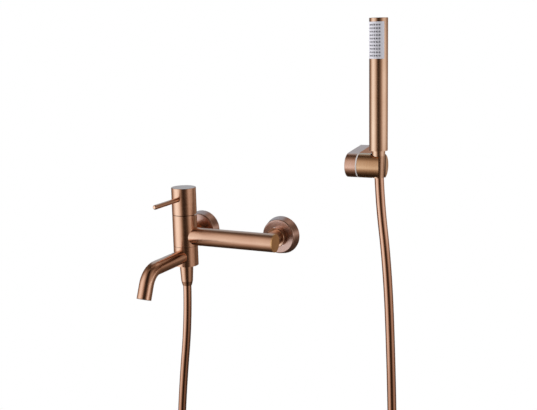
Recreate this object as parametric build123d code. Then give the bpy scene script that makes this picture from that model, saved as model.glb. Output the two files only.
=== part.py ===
from build123d import *
import math
import os

# Wall mounted bath and shower mixer with a swivelling spout, a stick handset on a smooth hose
# and a swivelling fork that holds the handset. Millimetres, +X along the wall, +Y into the wall,
# +Z up. The origin is the left inlet's centre on the finished wall.

# Shared clearances
running_gap = 0.3
seat_gap = 0.1
overrun = 1.0

# Places on the wall
inlet_pitch = 150.0
mixer_reach = 61.5
holder_x = 336.7
holder_reach = 55.7
holder_height = 131.0

# Barrel, cap and bar of the mixer
barrel_wall = 5.0
barrel_over_cartridge = 1.15
barrel_under_bar = 1.3
cap_seam = 1.0
cap_height = 44.7
bar_diameter = 29.8
bar_overhang = 16.5
bar_waterway_diameter = 15.0
passage_diameter = 10.0

# Wall unions
wall_thread_diameter = 20.955
wall_thread_inside = 5.0
wall_thread_outside = 14.0
union_collar_diameter = 26.0
union_collar_length = 7.0
union_thread_diameter = 26.4
union_bore_diameter = 12.0
gasket_thickness = 2.0
neck_collar_thickness = 2.5
neck_collar_lip = 1.3
coupling_wall = 2.7
coupling_lip = 4.0
coupling_edge = 0.6
escutcheon_back_diameter = 63.0
escutcheon_front_diameter = 56.0
escutcheon_depth = 16.0
escutcheon_wall = 1.5
escutcheon_edge_radius = 2.2
check_valve_diameter = 14.0
check_valve_length = 18.0
check_valve_wall = 1.6
poppet_diameter = 8.0
poppet_head = 3.0
poppet_stem_diameter = 3.0

# Cartridge
cartridge_diameter = 26.0
cartridge_wall = 1.5
cartridge_neck_step_share = 1 / 13
cartridge_neck_wall_share = 6 / 65
chamber_floor = 12.0
port_circle_share = 0.54
port_share = 0.215
port_angles = (0, 90, 225)
port_seal_thickness = 2.0
cartridge_base_thickness = 4.0
disc_thickness = 3.0
disc_running_gap = 0.05
moving_disc_pocket_share = 0.31
moving_disc_pocket_depth = 1.4
driver_height = 7.0
driver_play = 0.4
ball_sink = 2.55
driver_slot_floor = 1.2
carrier_foot = 2.0
carrier_top_above_pivot = 5.0
pivot_pin_diameter = 3.0
stem_width_share = 0.23
stem_above_pivot = 20.0
stem_arm_share = 23 / 52
stem_ball_share = 0.215
stem_shank_share = 0.155
lift_angle = 18.0
retaining_nut_wall = 2.5
retaining_nut_depth = 10.2
retaining_nut_flat_depth = 2.0
retaining_nut_above = 5.0
nut_round_above = 0.6
dome_wall = 0.7
dome_over_nut = 1.0
dome_height = 7.6
dome_shoulder = 5.2
dome_hole_gap = 0.5

# Handle
cap_wall = 3.0
cap_ceiling = 6.0
cap_edge = 0.4
boss_diameter = 16.0
boss_above_pivot = 10.0
lever_diameter = 7.7
lever_height_above_pivot = 23.9
lever_length = 90.4
lever_socket = 2.0
lever_tip_radius = 2.4
lever_shank_diameter = 5.0
lever_shank_length = 9.0
grub_diameter = 4.0
grub_length = 5.0
grub_height_above_pivot = 15.0
grub_plug_diameter = 5.4
grub_plug_thickness = 1.6

# Bar end plug
plug_head = 2.0
bar_wall_at_plug = 4.0
plug_spigot_length = 12.0
plug_groove_depth = 1.75
plug_groove_width = 2.2
plug_groove_inset = 6.0
ring_section = 1.8

# Spout section
spout_seam = 0.5
spout_section_height = 33.1
spout_wall = 3.0
sleeve_wall = 3.1
core_spigot_step = 2.0
core_spigot_length = 8.0
core_flange = 2.4
core_flange_gap = 0.3
slip_ring_thickness = 0.8
core_ring_groove_depth = 1.65
core_ring_section = 1.6
core_ring_inset = 5.0
core_channel_depth = 2.0
core_channel_width = 12.0
core_port_diameter = 10.0
sleeve_port_diameter = 16.0
spout_diameter = 23.2
spout_bore_diameter = 20.0
spout_spigot_diameter = 21.2
spout_straight = 92.4
spout_bend_radius = 33.0
spout_bend_angle = 67.5
spout_drop = 23.0
aerator_length = 9.0
aerator_wall = 1.0
aerator_recess = 0.8
aerator_mesh = 2.0
aerator_hole_diameter = 1.6
aerator_hole_circles = (3.0, 6.0)
aerator_holes_on_circle = (6, 12)

# Hose outlet and its conical nut
outlet_thread_diameter = 20.955
outlet_thread_length = 8.0
outlet_bore_diameter = 10.0
hose_diameter = 14.0
hose_washer_thickness = 2.0
hose_nut_thread_wall = 1.0225
hose_nut_low_wall = 2.8
hose_nut_mouth_wall = 0.8
hose_nut_length = 35.5
hose_nut_cone = 7.5

# Holder
holder_diameter = 36.8
arm_left_of_handset = 47.7
arm_width = 17.0
arm_edge = 0.5
washer_width = 1.9
fork_overhang = 9.6
fork_edge = 0.5
fork_slot_play = 1.0
fork_slot_turn = -23.5
liner_wall = 0.9
arm_wall_height = 47.4
arm_wall = 1.5
mount_plate_thickness = 3.0
mount_boss_diameter = 11.0
mount_boss_length = 15.0
mount_screw_spacing = 20.0
mount_screw_diameter = 4.2
mount_screw_shank_diameter = 3.6
mount_screw_head_diameter = 7.6
mount_screw_head = 2.2
mount_screw_into_wall = 25.0
mount_screw_recess_diameter = 2.2
mount_screw_recess = 1.2
arm_grub_from_wall = 13.0
arm_grub_length = 7.0
pivot_screw_diameter = 8.0
pivot_screw_head_diameter = 13.0
pivot_screw_head = 3.4
pivot_screw_into_fork = 15.0
pivot_bush_wall = 1.6
pivot_spring_thickness = 0.8
arm_cap_diameter = 15.4
arm_cap_thickness = 1.6
pivot_recess = 7.0

# Handset
handset_wall = 1.6
handset_above_holder = 23.5
handset_length = 193.5
top_cap_thickness = 2.0
top_cap_spigot = 2.4
cone_wall = 1.3
cone_flare = 1.4
cone_straight = 7.5
cone_length = 41.0
cone_flange = 5.5
hose_end_inside = 13.5
upper_nut_length = 17.8
upper_nut_wall = 1.5225
tail_length = 30.0
tail_collar = 4.0
tail_spigot_diameter = 10.0
tail_bore_diameter = 7.0
inner_tube_wall = 1.2
face_height = 53.0
face_below_top = 5.6
face_half_angle = 64.0
face_turn = -8.2
face_thickness = 1.3
membrane_thickness = 1.1
membrane_margin = 1.8
membrane_side_angle = 4.0
nozzle_rows = 10
nozzle_columns = 5
nozzle_margin = 4.45
nozzle_column_angle = 16.4
nozzle_diameter = 2.2
nozzle_hole_diameter = 2.6
nozzle_proud = 0.35
manifold_wall = 2.6
manifold_below_face = 3.4
manifold_inlet_diameter = 8.0
manifold_port_diameter = 5.0
chamber_side_angle = 12.0
sector_step_angle = 60.0

# The hose's route, from the washer under the mixer to its end inside the handset
hose_route = [
    (0.0, -61.5, -60.1),
    (0.0, -61.5, -133.0),
    (-17.6, -62.0, -277.0),
    (-24.0, -64.0, -392.0),
    (-3.0, -67.0, -489.0),
    (54.0, -70.0, -562.0),
    (136.0, -72.0, -594.0),
    (222.0, -71.0, -585.0),
    (301.0, -68.0, -533.6),
    (350.0, -64.0, -446.0),
    (362.0, -60.0, -330.0),
    (358.3, -57.0, -190.0),
    (351.8, -55.7, -30.0),
    (336.7, -55.7, 98.0),
    (336.7, -55.7, 168.0),
]
hose_bend_share = 0.45

# Values worked out from the sizes above: mixer and its unions
mixer_y = -mixer_reach
retaining_nut_diameter = cartridge_diameter + retaining_nut_wall * 2
retaining_nut_flats = retaining_nut_diameter - retaining_nut_flat_depth * 2
barrel_diameter = retaining_nut_diameter + barrel_wall * 2
barrel_radius = barrel_diameter / 2
barrel_below = bar_diameter / 2 + barrel_under_bar
bar_end = inlet_pitch + bar_overhang
plug_spigot_diameter = bar_diameter - bar_wall_at_plug * 2
neck_collar_diameter = union_thread_diameter + seat_gap * 2
neck_diameter = neck_collar_diameter - neck_collar_lip * 2
coupling_diameter = neck_collar_diameter + coupling_wall * 2
union_front = wall_thread_inside + union_collar_length * 2
neck_end = union_front + gasket_thickness

# Cartridge, from its floor to the barrel's top
cartridge_radius = cartridge_diameter / 2
cartridge_inner = cartridge_radius - cartridge_wall
cartridge_neck_diameter = cartridge_diameter * (1 - cartridge_neck_step_share * 2)
cartridge_neck_wall = cartridge_diameter * cartridge_neck_wall_share
carrier_neck_diameter = cartridge_neck_diameter - (cartridge_neck_wall + running_gap) * 2
port_circle_diameter = cartridge_diameter * port_circle_share
port_diameter = cartridge_diameter * port_share
stem_width = cartridge_diameter * stem_width_share
stem_ball_diameter = cartridge_diameter * stem_ball_share
stem_shank_diameter = cartridge_diameter * stem_shank_share
stem_arm = cartridge_diameter * stem_arm_share
disc_travel = stem_arm * math.sin(math.radians(lift_angle))
fixed_disc_diameter = (cartridge_inner - running_gap) * 2
moving_disc_diameter = (cartridge_inner - disc_travel - running_gap) * 2
moving_disc_pocket_diameter = cartridge_diameter * moving_disc_pocket_share
driver_slot = stem_ball_diameter + driver_play * 2
seal_top = chamber_floor + port_seal_thickness
base_top = seal_top + cartridge_base_thickness
fixed_disc_top = base_top + disc_thickness
moving_disc_bottom = fixed_disc_top + disc_running_gap
moving_disc_top = moving_disc_bottom + disc_thickness
driver_top = moving_disc_top + driver_height
ball_height = driver_top - ball_sink
pivot_height = ball_height + stem_arm
carrier_bottom = driver_top + running_gap
carrier_shoulder = carrier_bottom + carrier_foot
cartridge_roof = carrier_shoulder + running_gap
cartridge_shoulder = cartridge_roof + cartridge_wall
barrel_above = cartridge_shoulder + barrel_over_cartridge
nut_bottom = barrel_above - retaining_nut_depth
nut_top = barrel_above + retaining_nut_above
dome_diameter = retaining_nut_diameter + dome_over_nut * 2
dome_hole_diameter = carrier_neck_diameter + dome_hole_gap * 2
cap_bottom = barrel_above + cap_seam
cap_top = cap_bottom + cap_height

# Spout section and hose outlet
spout_top = -barrel_below - spout_seam
spout_bottom = spout_top - spout_section_height
spout_height = (spout_top + spout_bottom) / 2
sleeve_outer = barrel_radius - spout_wall - seat_gap
sleeve_inner = sleeve_outer - sleeve_wall
core_diameter = (sleeve_inner - running_gap) * 2
core_spigot_diameter = core_diameter - core_spigot_step * 2
core_bottom = spout_bottom - running_gap
hose_start = core_bottom - outlet_thread_length - hose_washer_thickness
hose_nut_top_diameter = outlet_thread_diameter + hose_nut_thread_wall * 2
hose_nut_low_diameter = hose_diameter + hose_nut_low_wall * 2
hose_nut_mouth_diameter = hose_diameter + hose_nut_mouth_wall * 2

# Holder
holder_y = -holder_reach
holder_radius = holder_diameter / 2
arm_left = holder_x - arm_left_of_handset
arm_right = arm_left + arm_width
arm_x = arm_left + arm_width / 2
washer_right = arm_right + washer_width
fork_left = washer_right + running_gap
fork_right = holder_x + fork_overhang
fork_slot = hose_diameter + fork_slot_play * 2
fork_top = holder_height + holder_radius
fork_low = holder_height - holder_radius

# Handset
handset_bottom = holder_height + handset_above_holder
handset_top = handset_bottom + handset_length
upper_nut_diameter = outlet_thread_diameter + (seat_gap + upper_nut_wall) * 2
handset_inner = upper_nut_diameter / 2 + seat_gap
handset_radius = handset_inner + handset_wall
handset_diameter = handset_radius * 2
cone_low_diameter = hose_diameter + (running_gap + cone_wall) * 2
cone_top_diameter = cone_low_diameter + cone_flare * 2
cone_bottom = handset_bottom - cone_length
cone_taper_top = handset_bottom - cone_straight
flange_top = handset_bottom + cone_flange
hose_end = handset_bottom + hose_end_inside
upper_nut_top = flange_top + upper_nut_length
face_top = handset_top - face_below_top
face_bottom = face_top - face_height
face_middle = (face_bottom + face_top) / 2
face_inner = handset_radius - face_thickness
membrane_outer = face_inner - seat_gap
membrane_inner = membrane_outer - membrane_thickness
nozzle_row_pitch = (face_height - nozzle_margin * 2) / (nozzle_rows - 1)


def rod_z(diameter, low, high, x=0, y=0):
    """A round bar along Z between two heights."""
    bar = Cylinder(diameter / 2, high - low, align=(Align.CENTER, Align.CENTER, Align.MIN))
    return Pos(x, y, low) * bar


def rod_x(diameter, left, right, y=0, z=0):
    """A round bar along X between two places."""
    bar = Cylinder(diameter / 2, right - left, align=(Align.CENTER, Align.CENTER, Align.MIN))
    return Pos(left, y, z) * Rot(0, 90, 0) * bar


def rod_y(diameter, front, back, x=0, z=0):
    """A round bar along Y between two places."""
    bar = Cylinder(diameter / 2, back - front, align=(Align.CENTER, Align.CENTER, Align.MIN))
    return Pos(x, front, z) * Rot(-90, 0, 0) * bar


def block(x_low, x_high, y_low, y_high, z_low, z_high):
    """A box between opposite corners."""
    box = Box(x_high - x_low, y_high - y_low, z_high - z_low)
    return Pos((x_low + x_high) / 2, (y_low + y_high) / 2, (z_low + z_high) / 2) * box


def turned(profile):
    """A lathe-turned solid about Z from (radius, height) points."""
    outline = Plane.XZ * Polyline(*profile, close=True)
    return revolve(make_face(outline), Axis.Z)


def ring_z(outer, inner, low, high, x=0, y=0):
    """A ring about Z with square edges."""
    hole = rod_z(inner, low - overrun, high + overrun, x, y)
    return rod_z(outer, low, high, x, y) - hole


def round_ring(centre_diameter, section):
    """A round-section seal ring about Z at the origin."""
    return Torus(centre_diameter / 2, section / 2)


def sector(outer, inner, low, high, half_angle):
    """A curved slab about Z, centred on the front, open half_angle to each side."""
    reach = outer + overrun
    slab = ring_z(outer * 2, inner * 2, low, high)
    wedge = None
    steps = math.ceil(half_angle / sector_step_angle)
    for i in range(-steps, steps):
        first = math.radians(half_angle * i / steps)
        second = math.radians(half_angle * (i + 1) / steps)
        far = reach / math.cos((second - first) / 2)
        corners = [
            (0, 0),
            (far * math.sin(first), -far * math.cos(first)),
            (far * math.sin(second), -far * math.cos(second)),
        ]
        piece = extrude(make_face(Pos(0, 0, low - overrun) * Polyline(*corners, close=True)),
                        high - low + overrun * 2)
        wedge = piece if wedge is None else wedge + piece
    return slab & wedge


def ports(low, high):
    """The three vertical water ports under the cartridge."""
    holes = None
    for angle in port_angles:
        x = port_circle_diameter / 2 * math.cos(math.radians(angle))
        y = mixer_y + port_circle_diameter / 2 * math.sin(math.radians(angle))
        hole = rod_z(port_diameter, low, high, x, y)
        holes = hole if holes is None else holes + hole
    return holes


def at_handset(shape):
    """Moves a piece made about the Z axis to the handset's axis."""
    return Pos(holder_x, holder_y, 0) * shape


def at_mixer(shape):
    """Moves a piece made about the Z axis to the barrel's axis."""
    return Pos(0, mixer_y, 0) * shape


def make_mixer_body():
    """Cast barrel and bar with both inlet necks, its waterways and the cartridge chamber."""
    barrel = rod_z(barrel_diameter, -barrel_below, barrel_above, 0, mixer_y)
    bar = rod_x(bar_diameter, 0, bar_end - plug_head, mixer_y, 0)
    body = barrel + bar
    for x in (0, inlet_pitch):
        body += rod_y(neck_diameter, mixer_y, -neck_end, x, 0)
        body += rod_y(neck_collar_diameter, -neck_end - neck_collar_thickness, -neck_end, x, 0)
    nut_bore = retaining_nut_diameter + seat_gap * 2
    cartridge_bore = cartridge_diameter + seat_gap * 2
    body -= rod_z(nut_bore, nut_bottom, barrel_above + overrun, 0, mixer_y)
    body -= rod_z(cartridge_bore, chamber_floor, barrel_above, 0, mixer_y)
    core_hole = core_spigot_diameter + seat_gap * 2
    core_roof = -barrel_below + core_spigot_length + seat_gap
    body -= rod_z(core_hole, -barrel_below - overrun, core_roof, 0, mixer_y)
    port_reach = port_circle_diameter / 2
    cold_start = port_reach
    body -= rod_x(passage_diameter, cold_start, barrel_radius, mixer_y, 0)
    body -= rod_x(bar_waterway_diameter, barrel_radius - overrun, bar_end, mixer_y, 0)
    body -= rod_x(plug_spigot_diameter + seat_gap * 2, bar_end - plug_head - plug_spigot_length - seat_gap,
                  bar_end, mixer_y, 0)
    hot_end = mixer_y + port_reach + seat_gap
    body -= rod_y(passage_diameter, hot_end, -neck_end, 0, 0)
    body -= rod_y(passage_diameter, mixer_y, -neck_end, inlet_pitch, 0)
    valve_bore = check_valve_diameter + seat_gap * 2
    for x in (0, inlet_pitch):
        body -= rod_y(valve_bore, -neck_end - check_valve_length, -neck_end + overrun, x, 0)
    outlet_angle = math.radians(port_angles[2])
    outlet_x = port_reach * math.cos(outlet_angle)
    outlet_y = mixer_y + port_reach * math.sin(outlet_angle)
    body -= rod_z(port_diameter, core_roof - overrun, chamber_floor + overrun, outlet_x, outlet_y)
    for angle in port_angles[:2]:
        x = port_reach * math.cos(math.radians(angle))
        y = mixer_y + port_reach * math.sin(math.radians(angle))
        body -= rod_z(port_diameter, 0, chamber_floor + overrun, x, y)
    return body


def make_bar_plug():
    """Flanged plug that closes the bar's right end, with a groove for its seal."""
    head = bar_end - plug_head
    plug = rod_x(bar_diameter, head, bar_end, mixer_y, 0)
    plug += rod_x(plug_spigot_diameter, head - plug_spigot_length, head, mixer_y, 0)
    groove = head - plug_groove_inset
    cutter = rod_x(plug_spigot_diameter + overrun, groove, groove + plug_groove_width, mixer_y, 0)
    cutter -= rod_x(plug_spigot_diameter - plug_groove_depth * 2, groove - overrun,
                    groove + plug_groove_width + overrun, mixer_y, 0)
    return plug - cutter


def make_bar_plug_seal():
    """Round seal in the plug's groove."""
    middle = bar_end - plug_head - plug_groove_inset + plug_groove_width / 2
    centre = plug_spigot_diameter - plug_groove_depth * 2 + ring_section
    return Pos(middle, mixer_y, 0) * Rot(0, 90, 0) * round_ring(centre, ring_section)


def make_union(x):
    """Union with a wall thread, a collar and the thread for the coupling nut."""
    collar_back = -wall_thread_inside
    collar_front = collar_back - union_collar_length
    union = rod_y(wall_thread_diameter, collar_back, wall_thread_outside, x, 0)
    union += rod_y(union_collar_diameter, collar_front, collar_back, x, 0)
    union += rod_y(union_thread_diameter, -union_front, collar_front, x, 0)
    return union - rod_y(union_bore_diameter, -union_front - overrun, wall_thread_outside + overrun, x, 0)


def make_coupling_nut(x):
    """Round coupling nut that pulls the neck's collar against the union."""
    front = -neck_end - neck_collar_thickness - coupling_lip - seat_gap
    back = -wall_thread_inside - union_collar_length
    nut = rod_y(coupling_diameter, front, back, x, 0)
    nut = chamfer(nut.edges().group_by(Axis.Y)[0], coupling_edge)
    nut -= rod_y(neck_diameter + seat_gap * 2, front - overrun, back + overrun, x, 0)
    nut -= rod_y(neck_collar_diameter + seat_gap * 2, front + coupling_lip, back + overrun, x, 0)
    return nut


def make_gaskets():
    """Flat gasket between each neck and its union."""
    rings = []
    for x in (0, inlet_pitch):
        ring = rod_y(neck_collar_diameter, -neck_end, -union_front, x, 0)
        rings.append(ring - rod_y(union_bore_diameter, -neck_end - overrun, -union_front + overrun, x, 0))
    return Compound(rings)


def make_escutcheon(x):
    """Cup-shaped cover plate against the wall, round the coupling nut."""
    back = escutcheon_back_diameter / 2
    front = escutcheon_front_diameter / 2
    cup = turned([(0, 0), (back, 0), (front, escutcheon_depth), (0, escutcheon_depth)])
    cup = fillet(cup.edges().group_by(Axis.Z)[-1], escutcheon_edge_radius)
    slope_share = (escutcheon_depth - escutcheon_wall) / escutcheon_depth
    inner_front = back - (back - front) * slope_share - escutcheon_wall
    hollow = turned([(0, 0), (back - escutcheon_wall, 0),
                     (inner_front, escutcheon_depth - escutcheon_wall),
                     (0, escutcheon_depth - escutcheon_wall)])
    cup -= hollow
    cup -= rod_z(coupling_diameter + running_gap * 2, 0, escutcheon_depth + overrun)
    return Pos(x, 0, 0) * Rot(90, 0, 0) * cup


def make_check_valve_bodies():
    """Tube of the check valve in each inlet neck."""
    tubes = []
    front = -neck_end - check_valve_length + seat_gap
    back = -neck_end
    for x in (0, inlet_pitch):
        tube = rod_y(check_valve_diameter, front, back, x, 0)
        bore = check_valve_diameter - check_valve_wall * 2
        tube -= rod_y(bore, front + check_valve_wall, back + overrun, x, 0)
        tube -= rod_y(poppet_diameter - check_valve_wall, front - overrun, back, x, 0)
        tubes.append(tube)
    return Compound(tubes)


def make_poppets():
    """Poppet that sits on the seat of each check valve."""
    poppets = []
    seat = -neck_end - check_valve_length + seat_gap + check_valve_wall
    for x in (0, inlet_pitch):
        poppet = rod_y(poppet_diameter, seat, seat + poppet_head, x, 0)
        poppet += rod_y(poppet_stem_diameter, seat + poppet_head, -neck_end - poppet_head, x, 0)
        poppets.append(poppet)
    return Compound(poppets)


def make_cartridge_housing():
    """Stepped shell of the cartridge, open below, with a hole for the carrier's neck."""
    inner = cartridge_inner
    outer = cartridge_radius
    neck = cartridge_neck_diameter / 2
    hole = carrier_neck_diameter / 2 + running_gap
    shell = turned([(inner, seal_top), (outer, seal_top), (outer, cartridge_shoulder),
                    (neck, cartridge_shoulder), (neck, nut_top + seat_gap), (hole, nut_top + seat_gap),
                    (hole, cartridge_roof), (inner, cartridge_roof)])
    return at_mixer(shell)


def make_cartridge_base():
    """Plastic base with three ports."""
    base = rod_z((cartridge_inner - seat_gap) * 2, seal_top, base_top, 0, mixer_y)
    return base - ports(seal_top - overrun, base_top + overrun)


def make_port_seal():
    """Rubber seal under the cartridge."""
    seal = rod_z(cartridge_diameter, chamber_floor, seal_top, 0, mixer_y)
    return seal - ports(chamber_floor - overrun, seal_top + overrun)


def make_fixed_disc():
    """Fixed ceramic disc with three ports."""
    disc = rod_z(fixed_disc_diameter, base_top, fixed_disc_top, 0, mixer_y)
    return disc - ports(base_top - overrun, fixed_disc_top + overrun)


def make_moving_disc():
    """Moving ceramic disc with a mixing pocket in its lower face."""
    disc = rod_z(moving_disc_diameter, moving_disc_bottom, moving_disc_top, 0, mixer_y)
    return disc - rod_z(moving_disc_pocket_diameter, moving_disc_bottom - overrun,
                        moving_disc_bottom + moving_disc_pocket_depth, 0, mixer_y)


def make_disc_driver():
    """Plastic driver on the moving disc, with a slot for the stem's ball."""
    driver = rod_z(moving_disc_diameter, moving_disc_top, driver_top, 0, mixer_y)
    half = driver_slot / 2
    return driver - block(-half, half, mixer_y - half, mixer_y + half,
                          moving_disc_top + driver_slot_floor, driver_top + overrun)


def make_stem_carrier():
    """Ring that turns in the cartridge and holds the stem's pivot pin."""
    foot = (cartridge_inner - running_gap) * 2
    top = pivot_height + carrier_top_above_pivot
    carrier = rod_z(foot, carrier_bottom, carrier_shoulder, 0, mixer_y)
    carrier += rod_z(carrier_neck_diameter, carrier_shoulder, top, 0, mixer_y)
    swing = math.tan(math.radians(lift_angle))
    half_tilted = stem_width / 2 / math.cos(math.radians(lift_angle)) + running_gap
    half = stem_width / 2 + running_gap
    front = half_tilted + (pivot_height - carrier_bottom) * swing
    back = half_tilted + carrier_top_above_pivot * swing
    carrier -= block(-half, half, mixer_y - front, mixer_y + back,
                     carrier_bottom - overrun, top + overrun)
    return carrier - rod_x(pivot_pin_diameter + seat_gap, -carrier_neck_diameter, carrier_neck_diameter,
                           mixer_y, pivot_height)


def make_pivot_pin():
    """Steel pin across the carrier, through the stem."""
    half = carrier_neck_diameter / 2 - seat_gap
    return rod_x(pivot_pin_diameter, -half, half, mixer_y, pivot_height)


def make_valve_stem():
    """Square stem on the pivot pin, with a ball that drives the disc."""
    half = stem_width / 2
    stem = block(-half, half, mixer_y - half, mixer_y + half,
                 pivot_height - half, pivot_height + stem_above_pivot)
    stem += rod_z(stem_shank_diameter, ball_height, pivot_height, 0, mixer_y)
    stem += Pos(0, mixer_y, ball_height) * Sphere(stem_ball_diameter / 2)
    pin_hole = pivot_pin_diameter + seat_gap * 2
    return stem - rod_x(pin_hole, -stem_width, stem_width, mixer_y, pivot_height)


def make_retaining_nut():
    """Nut with wrench flats that holds the cartridge down."""
    outer = retaining_nut_diameter / 2
    skirt = cartridge_radius + seat_gap
    neck = cartridge_neck_diameter / 2 + seat_gap
    nut = turned([(skirt, nut_bottom), (outer, nut_bottom), (outer, nut_top), (neck, nut_top),
                  (neck, cartridge_shoulder), (skirt, cartridge_shoulder)])
    flats_from = barrel_above + nut_round_above
    hexagon = RegularPolygon(retaining_nut_flats / 2, 6, major_radius=False)
    prism = Pos(0, 0, flats_from) * extrude(hexagon, retaining_nut_above)
    keep = rod_z(retaining_nut_diameter, nut_bottom, flats_from) + prism
    return at_mixer(nut & keep)


def make_dome_cover():
    """Thin dome over the retaining nut, seen through the gap behind the cap."""
    outer = dome_diameter / 2
    hole = dome_hole_diameter / 2
    low = barrel_above
    shoulder = low + dome_shoulder
    top = low + dome_height
    outside = turned([(0, low), (outer, low), (outer, shoulder), (hole + dome_wall * 2, top), (0, top)])
    inside = turned([(0, low), (outer - dome_wall, low), (outer - dome_wall, shoulder),
                     (hole + dome_wall, top - dome_wall), (0, top - dome_wall)])
    dome = outside - inside - rod_z(dome_hole_diameter, low, top + overrun)
    return at_mixer(dome)


def make_handle_cap():
    """Round cap with the lever's socket and the boss that grips the stem."""
    cap = rod_z(barrel_diameter, cap_bottom, cap_top)
    cap = chamfer(cap.edges().group_by(Axis.Z)[-1], cap_edge)
    cap -= rod_z(barrel_diameter - cap_wall * 2, cap_bottom - overrun, cap_top - cap_ceiling)
    cap += rod_z(boss_diameter, pivot_height + boss_above_pivot, cap_top - cap_ceiling)
    socket = stem_width / 2 + seat_gap
    cap -= block(-socket, socket, -socket, socket, pivot_height,
                 pivot_height + stem_above_pivot + seat_gap)
    lever_z = pivot_height + lever_height_above_pivot
    cap -= rod_y(lever_diameter + seat_gap * 2, -barrel_diameter, lever_socket - barrel_radius, 0, lever_z)
    shank_end = lever_socket - barrel_radius + lever_shank_length + seat_gap
    cap -= rod_y(lever_shank_diameter + seat_gap * 2, -barrel_radius, shank_end, 0, lever_z)
    grub_z = pivot_height + grub_height_above_pivot
    cap -= rod_y(grub_diameter + seat_gap * 2, 0, barrel_radius, 0, grub_z)
    cap -= rod_y(grub_plug_diameter + seat_gap * 2, barrel_radius - cap_wall - overrun, barrel_diameter,
                 0, grub_z)
    reach = barrel_diameter
    below = block(-reach, reach, -reach, reach, -reach, barrel_above + running_gap - pivot_height)
    cap -= Pos(0, 0, pivot_height) * Rot(lift_angle, 0, 0) * below
    return at_mixer(cap)


def make_lever_pin():
    """Round lever with a rounded tip and a threaded shank."""
    lever_z = pivot_height + lever_height_above_pivot
    root = mixer_y - barrel_radius + lever_socket
    tip = mixer_y - lever_length
    lever = rod_y(lever_diameter, tip, root, 0, lever_z)
    lever = fillet(lever.edges().group_by(Axis.Y)[0], lever_tip_radius)
    return lever + rod_y(lever_shank_diameter, root, root + lever_shank_length, 0, lever_z)


def make_handle_screw():
    """Grub screw that clamps the cap on the stem."""
    grub_z = pivot_height + grub_height_above_pivot
    front = mixer_y + stem_width / 2 + seat_gap
    return rod_y(grub_diameter, front, front + grub_length, 0, grub_z)


def make_screw_plug():
    """Small plug that hides the grub screw at the back of the cap."""
    grub_z = pivot_height + grub_height_above_pivot
    back = mixer_y + barrel_radius
    plug = rod_y(grub_plug_diameter, back - grub_plug_thickness - overrun, back + overrun, 0, grub_z)
    return plug & rod_z(barrel_diameter, cap_bottom, cap_top, 0, mixer_y)


def make_outlet_core():
    """Fixed core under the barrel, with the spout's port, the lower flange and the hose thread."""
    radius = core_diameter / 2
    spigot = core_spigot_diameter / 2
    flange = sleeve_outer - running_gap
    flange_top_z = core_bottom + core_flange
    core = turned([(0, core_bottom - outlet_thread_length),
                   (outlet_thread_diameter / 2, core_bottom - outlet_thread_length),
                   (outlet_thread_diameter / 2, core_bottom), (flange, core_bottom),
                   (flange, flange_top_z), (radius, flange_top_z), (radius, -barrel_below),
                   (spigot, -barrel_below), (spigot, core_spigot_length - barrel_below),
                   (0, core_spigot_length - barrel_below)])
    core -= rod_z(outlet_bore_diameter, core_bottom - outlet_thread_length - overrun,
                  core_spigot_length - barrel_below + overrun)
    channel = core_channel_width / 2
    core -= ring_z(core_diameter + overrun, core_diameter - core_channel_depth * 2,
                   spout_height - channel, spout_height + channel)
    core -= rod_x(core_port_diameter, -core_diameter, core_diameter, 0, spout_height)
    groove_inner = core_diameter - core_ring_groove_depth * 2
    for middle in core_ring_heights():
        half = core_ring_section / 2 + seat_gap
        core -= ring_z(core_diameter + overrun, groove_inner, middle - half, middle + half)
    return at_mixer(core)


def core_ring_heights():
    """Heights of the two seal rings on the outlet core."""
    return (spout_top - core_ring_inset, spout_bottom + core_flange + core_ring_inset)


def make_core_rings():
    """Two round seals between the core and the spout's sleeve."""
    centre = core_diameter - core_ring_groove_depth * 2 + core_ring_section + seat_gap
    rings = []
    for middle in core_ring_heights():
        rings.append(Pos(0, mixer_y, middle) * round_ring(centre, core_ring_section))
    return Compound(rings)


def make_slip_ring():
    """Low-friction ring between the barrel and the turning sleeve."""
    top = -barrel_below
    return ring_z((sleeve_outer - running_gap) * 2, sleeve_inner * 2, top - slip_ring_thickness, top,
                  0, mixer_y)


def make_diverter_sleeve():
    """Sleeve that turns with the spout and closes its port when the spout stands aside."""
    top = -barrel_below - slip_ring_thickness - running_gap
    bottom = core_bottom + core_flange + core_flange_gap
    sleeve = ring_z(sleeve_outer * 2, sleeve_inner * 2, bottom, top)
    sleeve -= rod_y(sleeve_port_diameter, -barrel_radius, 0, 0, spout_height)
    return at_mixer(sleeve)


def make_spout_ring():
    """Outer ring of the swivelling spout section."""
    ring = ring_z(barrel_diameter, (sleeve_outer + seat_gap) * 2, spout_bottom, spout_top)
    ring -= rod_y(spout_spigot_diameter + seat_gap * 2, -barrel_diameter, 0, 0, spout_height)
    return at_mixer(ring)


def spout_path(start):
    """Centre line of the spout in its own plane: out, round the bend and down."""
    turn = math.radians(spout_bend_angle)
    bend = Vector(0, -spout_straight, 0)
    after = bend + Vector(0, -spout_bend_radius * math.sin(turn),
                          -spout_bend_radius * (1 - math.cos(turn)))
    end = after + Vector(0, -spout_drop * math.cos(turn), -spout_drop * math.sin(turn))
    straight = Line((0, -start, 0), bend)
    arc = TangentArc(bend, after, tangent=(0, -1, 0))
    return straight + arc + Line(after, end), end, turn


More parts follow.
